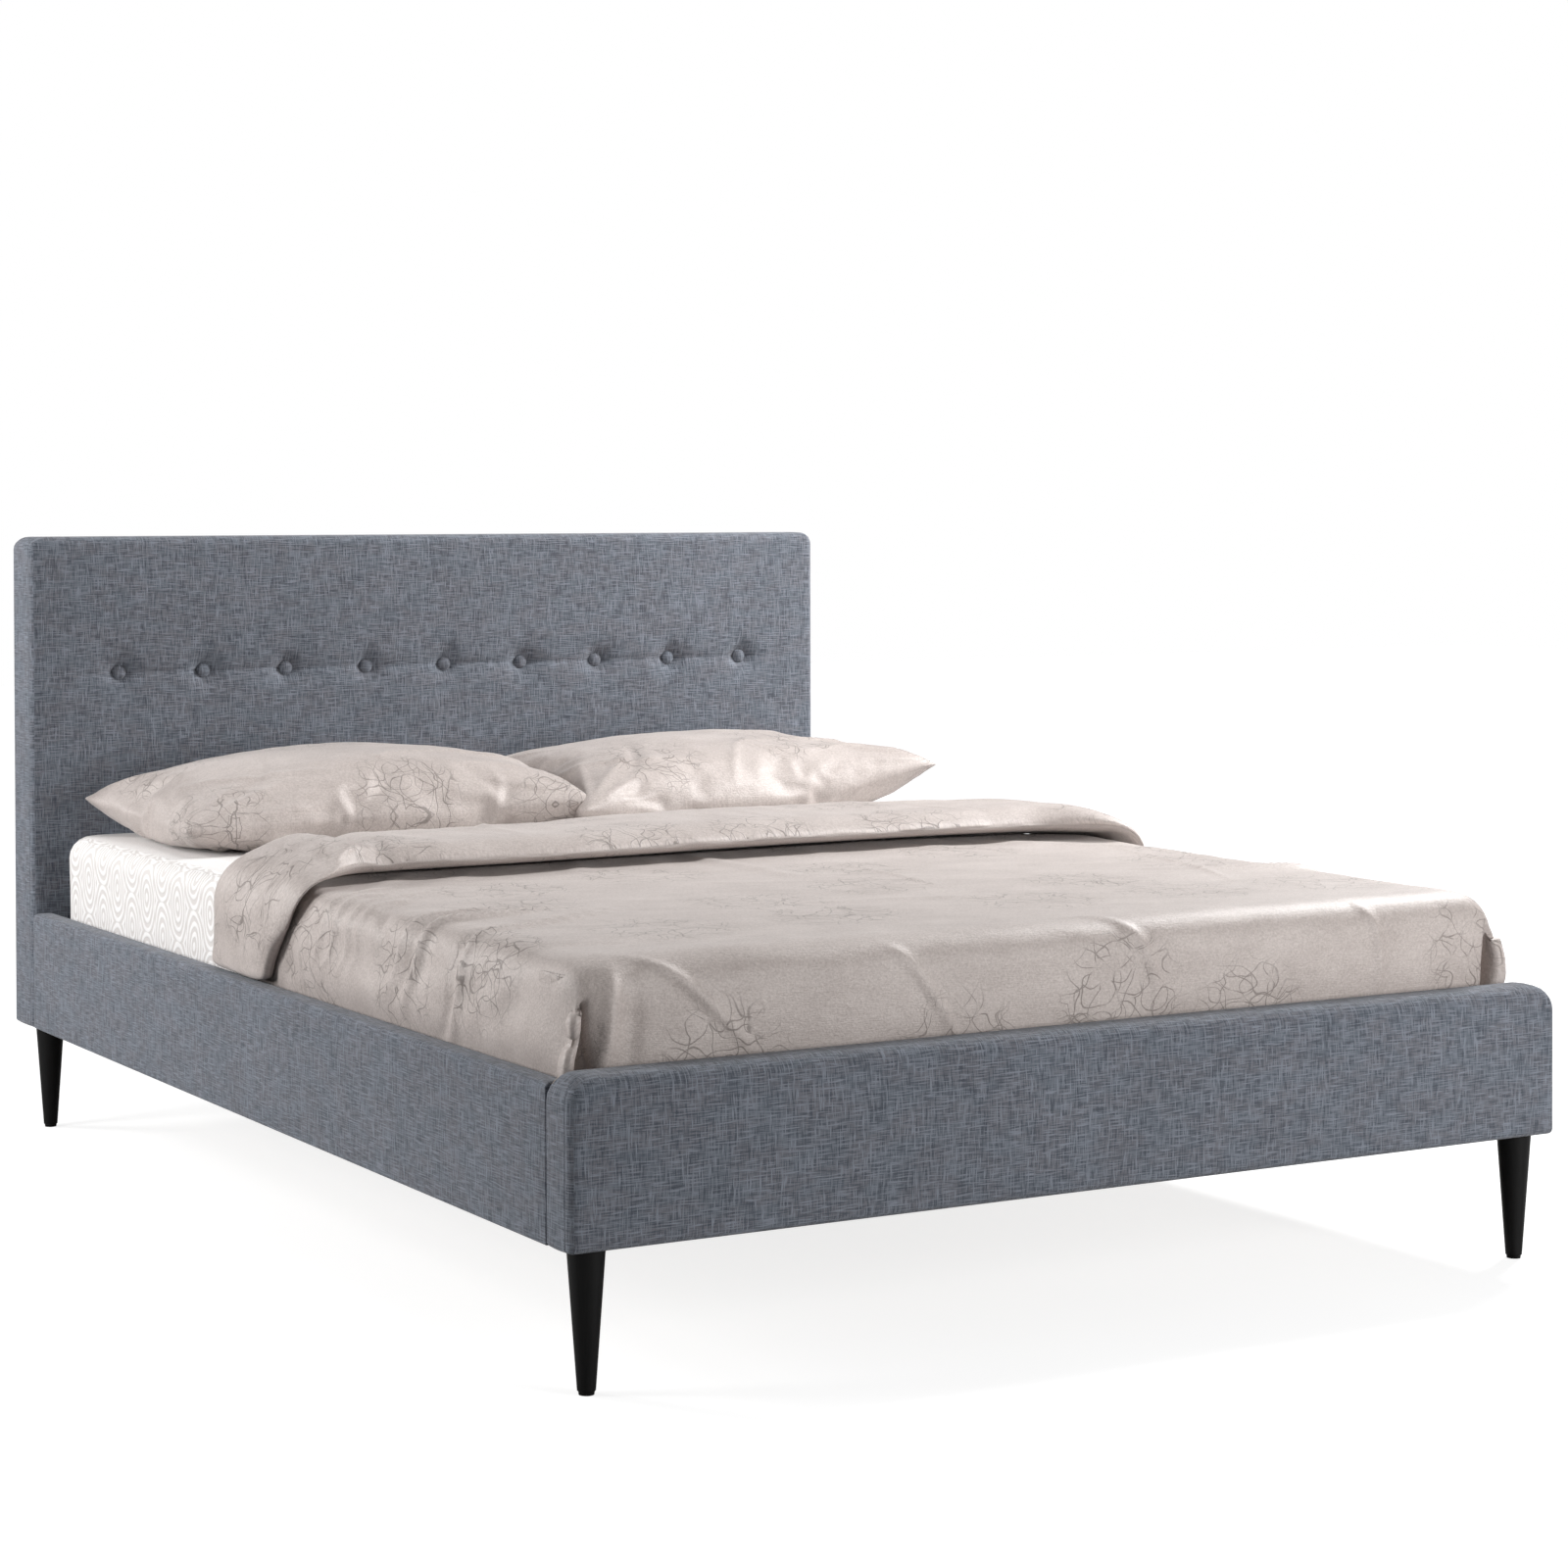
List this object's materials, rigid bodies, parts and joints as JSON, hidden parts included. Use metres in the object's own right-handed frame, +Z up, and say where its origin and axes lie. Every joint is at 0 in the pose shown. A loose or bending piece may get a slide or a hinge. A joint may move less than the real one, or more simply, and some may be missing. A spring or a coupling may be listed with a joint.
{
  "type": "upholstered headboard bed",
  "caption": "Upholstered platform bed with a buttoned padded headboard, low padded footboard and side rails, tapered legs, slatted base, mattress, duvet and pillows.",
  "frame": {"origin": "On the floor, under the middle of the bed's outer box, at the level of the legs' feet.", "axes": "+Z up; +Y along the bed from the foot end to the head end; +X across the bed, to the right of a person who stands at the foot end and looks at the headboard."},
  "size_m": [1.62, 2.225, 1.06],
  "materials": {
    "upholstery": "woven linen-look polyester, heathered blue-grey, matt",
    "button_fabric": "the same linen-look weave, drawn over domed buttons",
    "back_cloth": "black non-woven dust cloth",
    "foam": "cut polyurethane foam",
    "plywood": "plain plywood",
    "frame_timber": "planed pine, bare",
    "slat_timber": "planed poplar, bare",
    "leg_wood": "black satin lacquer",
    "bracket_steel": "black powder coat",
    "foot_plastic": "moulded black polyethylene",
    "ticking": "off-white knitted ticking with an embossed oval pattern",
    "bedding_fabric": "champagne satin-weave cotton with fine embroidered scribbles"
  },
  "bodies": {
    "frame": {"headboard_cover": "upholstery", "headboard_foam": "foam", "headboard_panel": "plywood", "headboard_post_left": "frame_timber", "headboard_post_right": "frame_timber", "headboard_top_rail": "frame_timber", "headboard_bottom_rail": "frame_timber", "headboard_back_cloth": "back_cloth", "headboard_button_1": "button_fabric", "headboard_button_2": "button_fabric", "headboard_button_3": "button_fabric", "headboard_button_4": "button_fabric", "headboard_button_5": "button_fabric", "headboard_button_6": "button_fabric", "headboard_button_7": "button_fabric", "headboard_button_8": "button_fabric", "headboard_button_9": "button_fabric", "footboard_cover": "upholstery", "footboard_foam": "foam", "footboard_panel": "plywood", "footboard_block_left": "frame_timber", "footboard_block_right": "frame_timber", "footboard_top_rail": "frame_timber", "footboard_bottom_rail": "frame_timber", "side_rail_cover_left": "upholstery", "side_rail_plank_left": "plywood", "slat_ledger_left": "frame_timber", "side_rail_cover_right": "upholstery", "side_rail_plank_right": "plywood", "slat_ledger_right": "frame_timber", "corner_bracket_front_right": "bracket_steel", "corner_bracket_front_left": "bracket_steel", "corner_bracket_rear_right": "bracket_steel", "corner_bracket_rear_left": "bracket_steel", "centre_beam": "frame_timber", "beam_hanger_front": "bracket_steel", "beam_hanger_rear": "bracket_steel", "centre_leg_front": "leg_wood", "centre_leg_rear": "leg_wood", "slat_01": "slat_timber", "slat_02": "slat_timber", "slat_03": "slat_timber", "slat_04": "slat_timber", "slat_05": "slat_timber", "slat_06": "slat_timber", "slat_07": "slat_timber", "slat_08": "slat_timber", "slat_09": "slat_timber", "slat_10": "slat_timber", "slat_11": "slat_timber", "leg_front_left": "leg_wood", "leg_rear_left": "leg_wood", "leg_front_right": "leg_wood", "leg_rear_right": "leg_wood"},
    "mattress": {"mattress": "ticking"},
    "duvet": {"duvet": "bedding_fabric"},
    "pillow_left": {"pillow_left": "bedding_fabric"},
    "pillow_right": {"pillow_right": "bedding_fabric"},
    "levelling_foot_front": {"levelling_foot_front": "foot_plastic"},
    "levelling_foot_rear": {"levelling_foot_rear": "foot_plastic"}
  },
  "joints": [
    {"name": "mattress_lift", "type": "slide", "parent": "frame", "child": "mattress", "axis": [0, 0, 1], "range_m": [0, 0.3]},
    {"name": "duvet_lift", "type": "slide", "parent": "mattress", "child": "duvet", "axis": [0, 0, 1], "range_m": [0, 0.3]},
    {"name": "pillow_left_lift", "type": "slide", "parent": "mattress", "child": "pillow_left", "axis": [0, 0, 1], "range_m": [0, 0.3]},
    {"name": "pillow_right_lift", "type": "slide", "parent": "mattress", "child": "pillow_right", "axis": [0, 0, 1], "range_m": [0, 0.3]},
    {"name": "levelling_foot_front_screw", "type": "slide", "parent": "frame", "child": "levelling_foot_front", "axis": [0, 0, -1], "range_m": [0, 0.012]},
    {"name": "levelling_foot_rear_screw", "type": "slide", "parent": "frame", "child": "levelling_foot_rear", "axis": [0, 0, -1], "range_m": [0, 0.012]}
  ]
}
